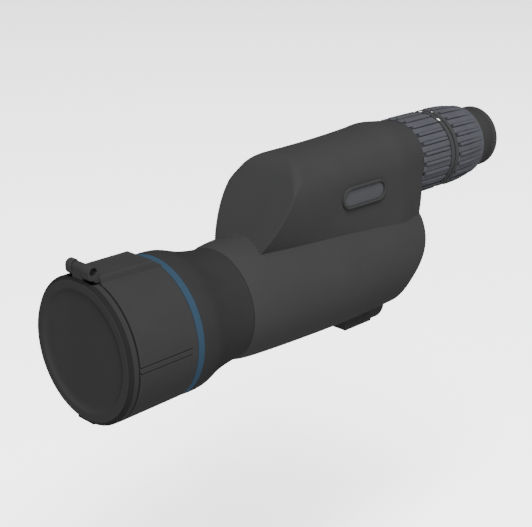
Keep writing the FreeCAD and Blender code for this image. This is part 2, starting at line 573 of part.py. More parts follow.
def grip_sleeve(outline, y0, y1):
    """Rubber grip with a narrow groove on each side of every ridge."""
    sleeve = revolve(outline, EYE_Z)
    for k in range(RIDGES):
        for side in (-1, 1):
            groove = box(GRIP_R - 1.0, GRIP_R + 2.0, y0, y1, EYE_Z - 0.35, EYE_Z + 0.35)
            groove.rotate(Vec(0, 0, EYE_Z), Vec(0, 1, 0), 360.0 * k / RIDGES + side * 2.4)
            sleeve = sleeve.cut(groove)
    return sleeve


def build_zoom_ring():
    """Zoom ring with its scale band, grip and drive pin, and the cam sleeve it turns."""
    def at(y):
        return REAR_Y + y

    bore = EYE_TUBE_R + RUN
    core = revolve([(at(y), r) for y, r in
                    ((0.8, bore), (0.8, CORE_R), (35.1, CORE_R), (35.1, BAND_R), (38.9, BAND_R), (38.9, 27.6),
                     (39.6, 27.6), (39.6, bore))],
                   EYE_Z)
    pin_hole = radial_pin(CAM_R_IN - 2.0, 29.0, PIN_R, ZOOM_PIN_Y, EYE_Z, -90.0)
    save("zoom_ring_core", core.cut(pin_hole))
    save("zoom_drive_pin", radial_pin(CAM_R_IN + 0.1, 29.0, PIN_R, ZOOM_PIN_Y, EYE_Z, -90.0))
    grip = [(at(1.0), CORE_R), (at(1.0), 30.6), (at(1.5), GRIP_R), (at(35.0), GRIP_R), (at(35.0), CORE_R)]
    save("zoom_ring_grip", grip_sleeve(grip, at(3.0), at(36.0)))
    cam = ring(at(-46.0), at(40.0), CAM_R_OUT, CAM_R_IN, EYE_Z).cut(pin_hole)
    for y, travel, angle in ((FRONT_ERECTOR_Y, FRONT_ERECTOR_TRAVEL, 0.0), (REAR_ERECTOR_Y, REAR_ERECTOR_TRAVEL, 180.0)):
        cam = cam.cut(helical_slot(21.5, 25.5, 2 * PIN_R + 0.2, y - travel, y, angle - ZOOM_ANGLE, angle, EYE_Z))
    save("zoom_cam_sleeve", cam)


def build_erector(name, y, length, angle, bulge):
    """Sliding erector lens in its cell, with the pin that follows the cam."""
    r_out, r_in = GUIDE_R_IN - RUN, 17.0
    pin = radial_pin(r_in + 1.0, CAM_R_OUT - 0.1, PIN_R, y, EYE_Z, angle)
    save(name + "_cell", ring(y - length / 2, y + length / 2, r_out, r_in, EYE_Z).cut(pin))
    save(name + "_lens", lens(y - 3.0, y + 3.0, r_in, bulge, bulge, EYE_Z))
    save(name + "_pin", pin)


def build_focus_ring():
    """Focus ring with its band, tapered grip and the helical groove that drives the ocular."""
    def at(y):
        return REAR_Y + y

    bore = EYE_TUBE_R + RUN
    core = revolve([(at(y), r) for y, r in
                    ((40.4, bore), (40.4, BAND_R), (44.2, BAND_R), (44.2, CORE_R), (70.0, 28.9), (80.4, 27.6),
                     (80.4, bore))], EYE_Z)
    groove = helical_slot(25.0, 27.5, 2 * PIN_R + 0.2, FOCUS_PIN_Y - FOCUS_TRAVEL, FOCUS_PIN_Y + FOCUS_TRAVEL,
                          -FOCUS_ANGLE, FOCUS_ANGLE, EYE_Z)
    save("focus_ring_core", core.cut(groove))
    grip = [(44.3, CORE_R), (44.3, 30.8), (46.0, 31.0), (53.0, 31.0), (60.0, 30.7), (68.0, 30.3), (75.0, 29.7),
            (79.6, 29.0), (80.4, 28.3), (80.4, 27.6), (70.0, 28.9), (44.2, CORE_R)]
    save("focus_ring_grip", grip_sleeve([(at(y), r) for y, r in grip], at(44.0), at(72.0)))


def build_ocular():
    """Ocular lenses in a sliding cell, with spacer, retaining ring and drive pin."""
    def at(y):
        return REAR_Y + y

    r_out, r_in = OCULAR_R - RUN, 16.0
    pin = radial_pin(r_in + 0.8, 27.4, PIN_R, FOCUS_PIN_Y, EYE_Z, 0.0)
    cell = revolve([(at(y), r) for y, r in
                    ((58.0, r_out), (90.0, r_out), (90.0, r_in), (60.0, r_in), (60.0, 14.5), (58.0, 14.5))], EYE_Z)
    save("ocular_cell", cell.cut(pin))
    save("ocular_field_lens", lens(at(62.5), at(66.0), r_in, 2.5, 2.0, EYE_Z))
    save("ocular_spacer", ring(at(66.0), at(79.0), r_in, 14.8, EYE_Z))
    save("ocular_eye_lens", lens(at(79.0), at(85.0), r_in, 1.5, 2.2, EYE_Z))
    save("ocular_retaining_ring", ring(at(85.0), at(88.0), r_in, 14.8, EYE_Z))
    save("focus_pin", pin)


def build_eyecup():
    """Twist-up eyecup: turning sleeve, lifting core with its pin, and the soft cup."""
    def at(y):
        return REAR_Y + y

    sleeve_r_out = 21.6
    core_r_in, core_r_out = sleeve_r_out + RUN, 22.9
    sleeve = ring(at(81.0), at(95.0), sleeve_r_out, CUP_SEAT_R + RUN, EYE_Z)
    sleeve = sleeve.cut(radial_slot(20.0, 22.5, 2.6, CUP_PIN_Y, CUP_PIN_Y + CUP_LIFT, EYE_Z, -90.0))
    save("eyecup_sleeve", sleeve)
    pin = radial_pin(CUP_SEAT_R - 0.7, core_r_out - 0.1, 1.25, CUP_PIN_Y, EYE_Z, -90.0)
    save("eyecup_pin", pin)
    save("eyecup_core", ring(at(81.2), at(103.0), core_r_out, core_r_in, EYE_Z).cut(pin))
    cup = [(81.0, core_r_out), (81.0, 27.3), (81.5, 27.8), (84.2, 27.3), (88.2, 26.4), (92.2, 25.4), (96.2, 24.3),
           (99.4, 23.5), (100.6, 23.4), (101.4, 23.9), (102.8, 24.3), (104.2, 24.2), (105.6, 23.7), (106.2, 23.0),
           (105.6, 21.6),
           (103.4, 20.4), (103.0, 20.6), (103.0, core_r_out)]
    save("eyecup_rubber", revolve([(at(y), r) for y, r in cup], EYE_Z))


build_body()
build_barrel()
build_objective()
build_mirrors()
build_sunshade()
build_cover()
build_eyepiece_tube()
build_zoom_ring()
build_erector("erector_front", FRONT_ERECTOR_Y, 14.0, 0.0, 1.6)
build_erector("erector_rear", REAR_ERECTOR_Y, 12.0, 180.0, 2.2)
build_focus_ring()
build_ocular()
build_eyecup()
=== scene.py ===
"""Spotting scope: the looks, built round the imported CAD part.

Shapes are written in millimetres from a few datums: the cover's hinge pin, the front edge of
the accent ring, the rear face of the body and the two optical axes. All of them follow from
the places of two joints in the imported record. Pieces are made as meshes in the CAD part's
own frame and ride on its bodies.
"""

import json
import math

import bmesh
import bpy
import numpy as np
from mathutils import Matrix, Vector


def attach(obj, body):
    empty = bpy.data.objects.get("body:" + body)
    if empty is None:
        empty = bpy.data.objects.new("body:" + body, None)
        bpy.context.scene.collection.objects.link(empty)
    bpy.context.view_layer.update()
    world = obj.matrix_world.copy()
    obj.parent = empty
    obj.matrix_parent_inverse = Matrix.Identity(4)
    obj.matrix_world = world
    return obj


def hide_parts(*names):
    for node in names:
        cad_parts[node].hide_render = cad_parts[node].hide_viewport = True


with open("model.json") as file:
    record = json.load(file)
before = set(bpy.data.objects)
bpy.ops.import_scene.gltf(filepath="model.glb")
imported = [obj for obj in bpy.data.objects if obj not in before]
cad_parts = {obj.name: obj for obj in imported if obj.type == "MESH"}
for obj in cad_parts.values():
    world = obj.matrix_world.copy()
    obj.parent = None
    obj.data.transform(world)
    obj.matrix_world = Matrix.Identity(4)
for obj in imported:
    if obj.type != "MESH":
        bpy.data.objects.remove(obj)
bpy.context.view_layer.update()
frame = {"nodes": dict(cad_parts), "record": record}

# ---- datums, in millimetres ---------------------------------------------------------
MM = 0.001
HINGE_AHEAD = 52.5                  # hinge pin in front of the accent ring's front edge
HINGE_ABOVE = 56.0                  # hinge pin above the objective axis
BODY_LENGTH = 249.8                 # accent ring's front edge to the body's rear face
JOINTS = {joint["name"]: joint for joint in frame["record"]["behaviour"]["joints"]}
HINGE_Y = JOINTS["cover_hinge"]["pos_m"][1] / MM
HINGE_Z = JOINTS["cover_hinge"]["pos_m"][2] / MM
EYE_Z = JOINTS["zoom_ring_turn"]["pos_m"][2] / MM
RING_Y = HINGE_Y + HINGE_AHEAD
OBJ_Z = HINGE_Z - HINGE_ABOVE
REAR_Y = RING_Y + BODY_LENGTH
EYE_RISE = EYE_Z - OBJ_Z


# ---- mesh helpers -------------------------------------------------------------------
SAME_POINT = 1e-7                   # metres
LATHE_STEPS = 180


def face_outwards(mesh):
    """Join doubled corners and turn every face so that its normal points out of the piece."""
    edit = bmesh.new()
    edit.from_mesh(mesh)
    bmesh.ops.remove_doubles(edit, verts=edit.verts, dist=SAME_POINT)
    bmesh.ops.recalc_face_normals(edit, faces=edit.faces)
    if edit.calc_volume(signed=True) < 0:
        bmesh.ops.reverse_faces(edit, faces=edit.faces)
    edit.to_mesh(mesh)
    edit.free()


def mesh_piece(name, points, faces, sharp=40.0, closed=True):
    """Smooth-shaded mesh from points in millimetres; edges over `sharp` degrees stay sharp.

    An open sheet keeps the facing that its points give.
    """
    mesh = bpy.data.meshes.new(name)
    mesh.from_pydata((np.asarray(points, float) * MM).tolist(), [], faces)
    if closed:
        face_outwards(mesh)
    mesh.update()
    mesh.shade_smooth()
    mesh.set_sharp_from_angle(angle=math.radians(sharp))
    piece = bpy.data.objects.new(name, mesh)
    bpy.context.scene.collection.objects.link(piece)
    return piece


def skin(name, rows, round_rows=True, join_ends=False, cap_ends=False, sharp=40.0):
    """Mesh from rows of points, each joined to the next; a round row also meets its own start."""
    rows = np.asarray(rows, float)
    count, width, _ = rows.shape
    pairs = [(i, i + 1) for i in range(count - 1)]
    if join_ends:
        pairs.append((count - 1, 0))
    last = width if round_rows else width - 1
    faces = []
    for a, b in pairs:
        for j in range(last):
            k = (j + 1) % width
            faces.append((a * width + j, a * width + k, b * width + k, b * width + j))
    if cap_ends:
        faces.append(tuple(range(width - 1, -1, -1)))
        faces.append(tuple((count - 1) * width + j for j in range(width)))
    return mesh_piece(name, rows.reshape(-1, 3), faces, sharp, closed=round_rows)


def soften(outline, radius, steps=3):
    """Closed outline with every corner rounded by up to `radius`."""
    pts = [np.array(p, float) for p in outline]
    out = []
    for i, p in enumerate(pts):
        a, b = pts[i - 1] - p, pts[(i + 1) % len(pts)] - p
        la, lb = np.linalg.norm(a), np.linalg.norm(b)
        cut = min(radius, 0.42 * la, 0.42 * lb)
        start, end = p + a / la * cut, p + b / lb * cut
        for k in range(steps + 1):
            t = k / steps
            out.append((1 - t) ** 2 * start + 2 * t * (1 - t) * p + t * t * end)
    return out


def lathe(name, outline, axis_z, radius):
    """Turned piece from a closed outline of (y, r) corners round an axis along Y."""
    angles = np.linspace(0, 2 * math.pi, LATHE_STEPS, endpoint=False)
    rows = [[(r * math.cos(a), y, axis_z + r * math.sin(a)) for a in angles]
            for y, r in soften(outline, radius)]
    return skin(name, rows, join_ends=True)


def prism(name, outline, x0, x1, bevel=0.0):
    """Solid along X from a closed outline of (y, z) corners, with bevelled edges."""
    rows = [[(x, y, z) for y, z in outline] for x in (x0, x1)]
    piece = skin(name, rows, cap_ends=True)
    if bevel:
        add_bevel(piece, bevel)
    return piece


def add_bevel(piece, width):
    """Round the sharp edges of a piece by `width` millimetres."""
    bevel = piece.modifiers.new("bevel", "BEVEL")
    bevel.width = width * MM
    bevel.segments = 3
    bevel.limit_method = "ANGLE"
    bevel.angle_limit = math.radians(30)
    bevel.harden_normals = True


def cut_away(piece, cutter):
    """Subtract a cutter, which has to stay until the piece is joined with others."""
    cut = piece.modifiers.new("cut", "BOOLEAN")
    cut.object = cutter
    cut.operation = "DIFFERENCE"


def circle(y, z, r, steps=32, start=0.0, end=360.0):
    """Points of an arc in the YZ plane."""
    angles = np.radians(np.linspace(start, end, steps, endpoint=abs(end - start) < 360))
    return [(y + r * math.cos(a), z + r * math.sin(a)) for a in angles]


def one_piece(name, parts):
    """Join several mesh objects, modifiers applied, into one piece."""
    graph = bpy.context.evaluated_depsgraph_get()
    points, faces = [], []
    for part in parts:
        mesh = part.evaluated_get(graph).to_mesh()
        base = len(points)
        points += [tuple(v.co / MM) for v in mesh.vertices]
        faces += [tuple(base + i for i in f.vertices) for f in mesh.polygons]
        part.to_mesh_clear()
        bpy.data.objects.remove(part)
    return mesh_piece(name, points, faces)


def place(piece, body, slot, finish, *nodes):
    """Give a piece its body, material and the CAD nodes that it stands for; the record slot is not used."""
    normals = piece.modifiers.new("normals", "WEIGHTED_NORMAL")
    normals.keep_sharp = True
    piece.data.materials.clear()
    piece.data.materials.append(finish)
    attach(piece, body)
    if nodes:
        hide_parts(*nodes)


# ---- materials ----------------------------------------------------------------------
MATT = 0.0                          # specular level of rubber, coated metal and the floor
WORN = 0.12                         # how far worn edges of coated metal lighten
MIX_FIRST, MIX_SECOND, MIX_RESULT = 6, 7, 2     # colour sockets of a Mix node
ZONE_SOFT = 0.15                    # half width of a recoloured zone's soft ends


class Nodes:
    """Short way to build a shader's node tree, or to add to a finished one."""

    def __init__(self, name="", material=None):
        self.material = material or bpy.data.materials.new(name)
        self.material.use_nodes = True
        self.tree = self.material.node_tree
        self.shader = self.tree.nodes["Principled BSDF"]
        self.coords = self.tree.nodes.new("ShaderNodeTexCoord").outputs["Object"]

    def add(self, kind, inputs=None, **settings):
        node = self.tree.nodes.new("ShaderNode" + kind)
        for key, value in settings.items():
            setattr(node, key, value)
        for key, value in (inputs or {}).items():
            if isinstance(value, bpy.types.NodeSocket):
                self.tree.links.new(value, node.inputs[key])
            else:
                node.inputs[key].default_value = value
        return node

    def noise(self, per_mm, detail=3.0, rough=0.6):
        return self.add("TexNoise", {"Vector": self.coords, "Scale": per_mm / MM, "Detail": detail,
                                     "Roughness": rough}).outputs["Fac"]

    def span(self, value, low, high, start=0.3, end=0.7):
        """Map a value that runs from `start` to `end` to the range `low` to `high`."""
        return self.add("MapRange", {"Value": value, "From Min": start, "From Max": end, "To Min": low,
                                     "To Max": high}).outputs["Result"]

    def math(self, operation, a, b=0.0):
        return self.add("Math", {0: a, 1: b}, operation=operation).outputs[0]

    def blend(self, fac, first, second):
        """Mix two colours, each of them a plain colour or another node's output."""
        mix = self.add("Mix", {"Factor": fac}, data_type="RGBA")
        for key, colour in ((MIX_FIRST, first), (MIX_SECOND, second)):
            if isinstance(colour, bpy.types.NodeSocket):
                self.tree.links.new(colour, mix.inputs[key])
            else:
                mix.inputs[key].default_value = (*colour, 1)
        return mix.outputs[MIX_RESULT]

    def tint(self, fac, base, spread):
        """Colour that varies by `spread` either way round its base."""
        return self.blend(fac, [c * (1 - spread) for c in base], [c * (1 + spread) for c in base])

    def bump(self, height, strength, depth_mm, after=None):
        inputs = {"Height": height, "Strength": strength, "Distance": depth_mm * MM}
        if after:
            inputs["Normal"] = after
        return self.add("Bump", inputs).outputs["Normal"]

    def link(self, **sockets):
        for key, value in sockets.items():
            socket = self.shader.inputs[key.replace("_", " ")]
            if isinstance(value, bpy.types.NodeSocket):
                self.tree.links.new(value, socket)
            else:
                socket.default_value = value
        return self.material

    def spot(self):
        """The point's own coordinates, in metres."""
        return self.add("SeparateXYZ", {0: self.coords}).outputs

    def radius(self, axis_z):
        """Distance from an axis along Y and the place along it, both in metres."""
        x, y, z = self.spot()
        rise = self.math("SUBTRACT", z, axis_z * MM)
        square = self.math("ADD", self.math("MULTIPLY", rise, rise), self.math("MULTIPLY", x, x))
        return self.math("SQRT", square), y

    def zone(self, value, low, high):
        """1 where a value in metres lies between two limits in millimetres, with soft ends."""
        rise = self.span(value, 0.0, 1.0, (low - ZONE_SOFT) * MM, (low + ZONE_SOFT) * MM)
        fall = self.span(value, 1.0, 0.0, (high - ZONE_SOFT) * MM, (high + ZONE_SOFT) * MM)
        return self.math("MULTIPLY", rise, fall)

    def recolour(self, fac, colour):
        """Mix an even colour over the finished base colour."""
        base = self.shader.inputs["Base Color"].links[0].from_socket
        self.link(Base_Color=self.blend(fac, base, colour))


def worn_edge(n):
    """1 on outer edges that hands and bags rub, 0 elsewhere."""
    pointy = n.add("NewGeometry").outputs["Pointiness"]
    return n.math("MULTIPLY", n.span(pointy, 0.0, 1.0, 0.53, 0.62), n.span(n.noise(0.25), 0.2, 1.0))


def rubber(name, colour, rough, grain=0.9, depth=0.05, spread=0.06):
    """Moulded rubber: fine pebbled skin, faint cloudy patches, slightly shinier rubbed spots."""
    n = Nodes(name)
    cloud = n.noise(0.035, 4.0)
    pebble = n.add("TexVoronoi", {"Vector": n.coords, "Scale": grain * 2.4 / MM}).outputs["Distance"]
    skin_noise = n.noise(grain, 2.0)
    first = n.bump(pebble, 0.25, depth)
    second = n.bump(skin_noise, 0.2, depth, first)
    return n.link(Base_Color=n.tint(n.span(cloud, 0.0, 1.0), colour, spread),
                  Roughness=n.span(n.noise(0.09), rough - 0.05, rough + 0.06), Normal=second,
                  Specular_IOR_Level=MATT)


def coated_metal(name, colour, rough, metallic=0.0, spread=0.05, grain=3.0):
    """Anodised or lacquered metal: very fine blasted grain and slightly bright worn edges."""
    n = Nodes(name)
    body = n.tint(n.span(n.noise(0.05, 4.0), 0.0, 1.0), colour, spread)
    bare = [min(1.0, c * 2.5 + 0.01) for c in colour]
    worn = n.blend(n.math("MULTIPLY", worn_edge(n), WORN), body, bare)
    return n.link(Base_Color=worn, Metallic=metallic, Specular_IOR_Level=MATT,
                  Roughness=n.span(n.noise(0.2), rough - 0.04, rough + 0.05),
                  Normal=n.bump(n.noise(grain), 0.12, 0.03))


def turned_metal(name, colour, rough):
    """Bare metal with the fine rings that a lathe leaves round an axis along Y."""
    n = Nodes(name)
    along = n.math("MULTIPLY", n.spot()["Y"], 900.0)
    rings = n.add("TexNoise", {"W": along, "Scale": 6.0, "Detail": 3.0},
                  noise_dimensions="1D").outputs["Fac"]
    return n.link(Base_Color=n.tint(rings, colour, 0.08), Metallic=1.0,
                  Roughness=n.span(n.noise(0.4), rough - 0.06, rough + 0.1),
                  Normal=n.bump(rings, 0.15, 0.02))


def glass(name, tint, coating):
    """Coated lens: faint reflected colour that drifts over the surface, and a little dust."""
    n = Nodes(name)
    dust = n.span(n.noise(1.6, 6.0), 0.0, 1.0, 0.62, 0.8)
    drift = n.span(n.noise(0.015), 0.0, 1.0)
    body = n.blend(drift, [c * 0.8 for c in tint], tint)
    return n.link(Base_Color=body, Transmission_Weight=0.85, IOR=1.5, Coat_Weight=0.5,
                  Coat_Tint=n.blend(drift, coating, [min(1.0, c * 1.3) for c in coating]),
                  Roughness=n.span(dust, 0.03, 0.3, 0.0, 1.0))


def mirror_silver(name):
    """First-surface mirror with faint haze."""
    n = Nodes(name)
    return n.link(Base_Color=n.tint(n.noise(0.05), (0.88, 0.9, 0.9), 0.03), Metallic=1.0,
                  Roughness=n.span(n.noise(0.3), 0.02, 0.07))


HATCH_R = 31.0
HATCH_PITCH = 1.1


def ring_grip(name, colour, axis_z):
    """Grip rubber with fine hatching that runs slantwise round the ring."""
    n = Nodes(name)
    x, y, z = n.spot()
    rise = n.math("SUBTRACT", z, axis_z * MM)
    turn = n.math("MULTIPLY", n.math("ARCTAN2", rise, x), HATCH_R)
    along = n.math("MULTIPLY", y, 1 / MM)
    slant = n.math("SUBTRACT", turn, along)
    wave = n.math("SINE", n.math("MULTIPLY", slant, 2 * math.pi / HATCH_PITCH))
    hatch = n.span(wave, 0.0, 1.0, -0.6, 0.9)
    first = n.bump(hatch, 0.7, 0.16)
    second = n.bump(n.noise(2.2), 0.2, 0.05, first)
    base = n.tint(n.span(n.noise(0.06, 4.0), 0.0, 1.0), colour, 0.08)
    # painted highlight: the hatching's raised lines are coloured lighter
    hatch_highlight = n.blend(n.math("MULTIPLY", hatch, 0.22), base, [c * 1.6 for c in colour])
    return n.link(Base_Color=hatch_highlight, Roughness=n.span(n.noise(0.15), 0.55, 0.68), Normal=second,
                  Specular_IOR_Level=MATT)


def painted_bevel_shade(cover_finish):
    """Painted shade: an even darker colour all round the bevel of the cover's rim."""
    n = Nodes(material=cover_finish)
    radius, along = n.radius(OBJ_Z)
    bevel = n.math("MULTIPLY", n.zone(radius, 47.2, 50.2), n.zone(along, RING_Y - 56.3, RING_Y - 53.25))
    # painted shade and reflection: the bevel is coloured darker than the rest of the cover
    n.recolour(bevel, (0.0052, 0.0052, 0.0053))


def painted_recess_shade(grip_finish):
    """Painted shade: darker colour on the floor between the ribs of the zoom grip and of the focus grip's
    front half.
    """
    n = Nodes(material=grip_finish)
    radius, along = n.radius(EYE_Z)
    # painted shade: the deeper the recess, the darker its colour
    depth = n.span(radius, 0.85, 0.0, 29.0 * MM, 30.2 * MM)
    recess_shade = n.math("MULTIPLY", depth, n.zone(along, REAR_Y - 2.0, REAR_Y + 62.0))
    n.recolour(recess_shade, (0.0020, 0.0020, 0.0022))


ARMOUR = rubber("armour_rubber", (0.0110, 0.0110, 0.0111), 0.6, spread=0.025)
BARREL = coated_metal("barrel_coat", (0.0082, 0.0082, 0.0083), 0.5, spread=0.03)
SHADE = coated_metal("shade_coat", (0.0098, 0.0098, 0.0099), 0.5, spread=0.03)
BLACK = coated_metal("inner_black", (0.006, 0.006, 0.006), 0.6)
BLUE = coated_metal("accent_anodised", (0.0082, 0.0150, 0.0235), 0.45)
BADGE = coated_metal("badge_coat", (0.0172, 0.0175, 0.0190), 0.4)
COVER = rubber("cover_plastic", (0.0092, 0.0092, 0.0093), 0.55, grain=1.4, depth=0.03, spread=0.03)
GRIP = ring_grip("grip_rubber", (0.0190, 0.0195, 0.0222), EYE_Z)
BAND = coated_metal("band_coat", (0.013, 0.013, 0.0135), 0.45)
CUP = rubber("cup_rubber", (0.0108, 0.0108, 0.0109), 0.55, grain=1.8, depth=0.03)
SEAL = rubber("seal_rubber", (0.01, 0.01, 0.01), 0.5, grain=2.0, depth=0.02)
INK = rubber("scale_paint", (0.62, 0.62, 0.62), 0.5, grain=3.0, depth=0.01, spread=0.05)
STEEL = turned_metal("steel_dark", (0.03, 0.03, 0.033), 0.4)
BRASS = turned_metal("brass_turned", (0.55, 0.38, 0.13), 0.32)
CAST = coated_metal("cast_housing", (0.25, 0.25, 0.26), 0.5, metallic=0.8, grain=1.2)
FRONT_GLASS = glass("front_glass", (0.9, 0.95, 0.93), (0.25, 0.55, 0.4))
INNER_GLASS = glass("inner_glass", (0.92, 0.94, 0.95), (0.45, 0.35, 0.6))
SILVER = mirror_silver("mirror_silver")

# Painted shade: darker colour on the cover's bevel.
painted_bevel_shade(COVER)
# Painted shade: darker colour in the grips' grooves and pockets.
painted_recess_shade(GRIP)

SLOT_FINISH = {
    "armour": ARMOUR, "housing": CAST, "dark_metal": BARREL, "inner_black": BLACK, "accent_blue": BLUE,
    "badge": BADGE, "steel": STEEL, "brass": BRASS, "grip": GRIP, "soft_cup": CUP,
    "cover_plastic": COVER, "seal": SEAL, "lens": INNER_GLASS, "mirror": SILVER,
}


# ---- the body's shape as a field, negative inside -----------------------------------
# Upper housing: y behind RING_Y, half width at the eyepiece axis, crown height above
# that axis, half width at the foot of the wall.
HUMP = np.array([
    (66.0, 32.6, 27.6, 16.0), (82.0, 32.8, 27.6, 19.0), (100.0, 33.0, 27.7, 22.8), (130.0, 32.8, 27.9, 27.2),
    (160.0, 32.5, 28.5, 30.2), (190.0, 32.6, 29.8, 32.2), (210.0, 33.0, 31.1, 33.2),
    (224.0, 33.3, 32.3, 33.5), (238.0, 31.4, 30.9, 31.8), (252.0, 29.2, 29.1, 29.6),
])
# Lower lobe: y behind RING_Y and radius.
LOBE = np.array([
    (58.6, 40.4), (64.0, 41.7), (71.0, 42.6), (82.0, 43.3), (102.0, 44.2), (125.0, 44.9),
    (150.0, 45.5), (175.0, 45.5), (200.0, 45.1), (225.0, 44.3), (256.0, 42.7),
])
# Rear outline in side view: height above the objective axis and y behind RING_Y.
TAIL = np.array([
    (-41.5, 223.0), (-32.0, 223.2), (-22.5, 224.4), (-13.5, 227.6), (-4.5, 233.2), (7.0, 239.8),
    (20.0, 245.0), (33.0, 248.4), (46.4, 249.8),
])
WALL_FOOT = 28.0
NOSE_SLOPE = math.radians(58.0)
NOSE_FOOT = np.array((77.5, 32.0))
NOSE_TOP = 98.2
NOSE_ROUND = 27.0
SHOULDER = 2.4                      # over 2: the crown is flatter and its shoulders fuller than an ellipse
WALL_DROP = 14.0                    # sets how far below the eyepiece axis the wall stays upright
REAR_STEP = 1.3                     # the upper housing ends this much early low down
REAR_STEP_TOP, REAR_STEP_FADE = 47.0, 15.0      # it grows from this height down, over this much height
REAR_SPARE = 0.2                    # higher up its field reaches this far past the rear face
LOBE_JOIN = 0.5                     # width of the blend between the lobes
NOSE_EDGE = 0.35                    # width of the blend at the nose's edges low down
BROW_EDGE = 6.0                     # and how much it grows round the brow
BROW_START, BROW_RISE = 72.0, 13.0  # from this height up, over this much height
BROW_FADE = 2.2                     # how fast it dies out where the brow meets the crown
CORE_Z = 34.0                       # inside both lobes all along the body
FAR = 95.0                          # outside the body on every side of that line
REACH_STEPS = 26


def curve_through(table, column, at):
    """Smooth curve through one column of a table, whose first column is the place along it."""
    x, y = table[:, 0], table[:, column]
    slopes = np.gradient(y, x)
    at = np.clip(at, x[0], x[-1])
    i = np.clip(np.searchsorted(x, at) - 1, 0, len(x) - 2)
    width = x[i + 1] - x[i]
    t = (at - x[i]) / width
    a = (1 + 2 * t) * (1 - t) ** 2 * y[i] + t * (1 - t) ** 2 * width * slopes[i]
    return a + t * t * (3 - 2 * t) * y[i + 1] + t * t * (t - 1) * width * slopes[i + 1]


def smooth_max(a, b, k):
    """The larger of two fields, blended over a width of `k` where they are close."""
    mix = np.maximum(k - np.abs(a - b), 0) / k
    return np.maximum(a, b) + mix * mix * k / 4


def smooth_min(a, b, k):
    return -smooth_max(-a, -b, k)


def wall_half_width(y, z):
    """Half width of the upper housing at a height between the wall's foot and the eyepiece axis."""
    half, foot = curve_through(HUMP, 1, y), curve_through(HUMP, 3, y)
    z = np.clip(z, WALL_FOOT - 20, EYE_RISE)
    bend = EYE_RISE - WALL_FOOT - 2 * WALL_DROP
    root = np.sqrt(4 * WALL_DROP * WALL_DROP + 4 * bend * (EYE_RISE - z))
    t = (root - 2 * WALL_DROP) / (2 * bend)
    return half + (foot - half) * t * t


def tail_y(z):
    """Rear face, behind RING_Y, at a height above the objective axis."""
    return curve_through(TAIL, 1, z)


def nose_distance(y, z):
    """Distance in front of the nose (a slope, then the round brow), and 0..1 along the brow."""
    up, along = math.sin(NOSE_SLOPE), math.cos(NOSE_SLOPE)
    corner_y = NOSE_FOOT[0] + (NOSE_TOP - NOSE_FOOT[1]) * along / up
    middle_y = corner_y + NOSE_ROUND * math.tan(NOSE_SLOPE / 2)
    middle_z = NOSE_TOP - NOSE_ROUND
    slope = (NOSE_FOOT[0] - y) * up + (z - NOSE_FOOT[1]) * along
    brow = np.hypot(y - middle_y, z - middle_z) - NOSE_ROUND
    on_brow = (y - middle_y) * along + (z - middle_z) * up > 0
    ahead = np.clip((middle_y - y) / NOSE_ROUND, 0, 1)
    return np.where(y > middle_y, -90.0, np.where(on_brow, brow, slope)), ahead


def body_field(x, y, z):
    """Both lobes joined by a tight fillet; the nose's corners are sharp low down and round high up."""
    lobe = np.hypot(x, z) - curve_through(LOBE, 1, y)
    half, crown = curve_through(HUMP, 1, y), curve_through(HUMP, 2, y)
    out, up = np.abs(x / half) ** SHOULDER, (np.maximum(z - EYE_RISE, 0) / crown) ** SHOULDER
    dome = ((out + up) ** (1 / SHOULDER) - 1) * half
    hump = np.where(z > EYE_RISE, dome, np.abs(x) - wall_half_width(y, z))
    step = REAR_STEP * np.clip((REAR_STEP_TOP - z) / REAR_STEP_FADE, 0, 1)
    hump = np.maximum(hump, np.maximum(WALL_FOOT - z, y - tail_y(z) + step - REAR_SPARE))
    nose, ahead = nose_distance(y, z)
    rise = np.clip((z - BROW_START) / BROW_RISE, 0, 1)
    brow = BROW_EDGE * rise * rise * (3 - 2 * rise) * np.clip(ahead * BROW_FADE, 0, 1)
    edge = NOSE_EDGE + brow * np.clip(np.abs(x) / half, 0, 1)
    return smooth_min(lobe, smooth_max(hump, nose, edge), LOBE_JOIN)


def reach(field, y_of, angles, centre_z, far, inset=0.0):
    """Where rays from the line (x 0, z centre_z) leave a field; y may depend on the height reached."""
    near, away = np.zeros(angles.shape), np.full(angles.shape, far)
    for _ in range(REACH_STEPS):
        r = (near + away) / 2
        z = centre_z + r * np.sin(angles)
        inside = field(r * np.cos(angles), y_of(z), z) < -inset
        near, away = np.where(inside, r, near), np.where(inside, away, r)
    z = centre_z + near * np.sin(angles)
    return np.stack([near * np.cos(angles), y_of(z) + RING_Y, z + OBJ_Z], axis=-1)


BEND_Y = 205.0                      # behind this the rows lean over to follow the rear face
FRONT_LIP = ((59.6, 3.0), (58.6, 2.4), (58.6, 0.5), (58.75, 0.15), (59.1, 0.0))     # y, inset
REAR_LIP = ((0.25, 0.07), (0.08, 0.25), (0.0, 0.5))     # distance short of the rear face, inset
REAR_RINGS = (0.97, 0.9, 0.8, 0.65, 0.5, 0.35, 0.2, 0.08, 0.0)  # scale towards the rear face's middle


def armour_angles():
    """Directions round the body, closer together at both creases between the lobes."""
    fine = np.arange(-9.0, 15.0, 0.2)
    return np.radians(np.concatenate([fine, np.arange(15.0, 165.0, 0.6), 180.0 - fine[::-1],
                                      np.arange(189.6, 351.0, 0.6)]))


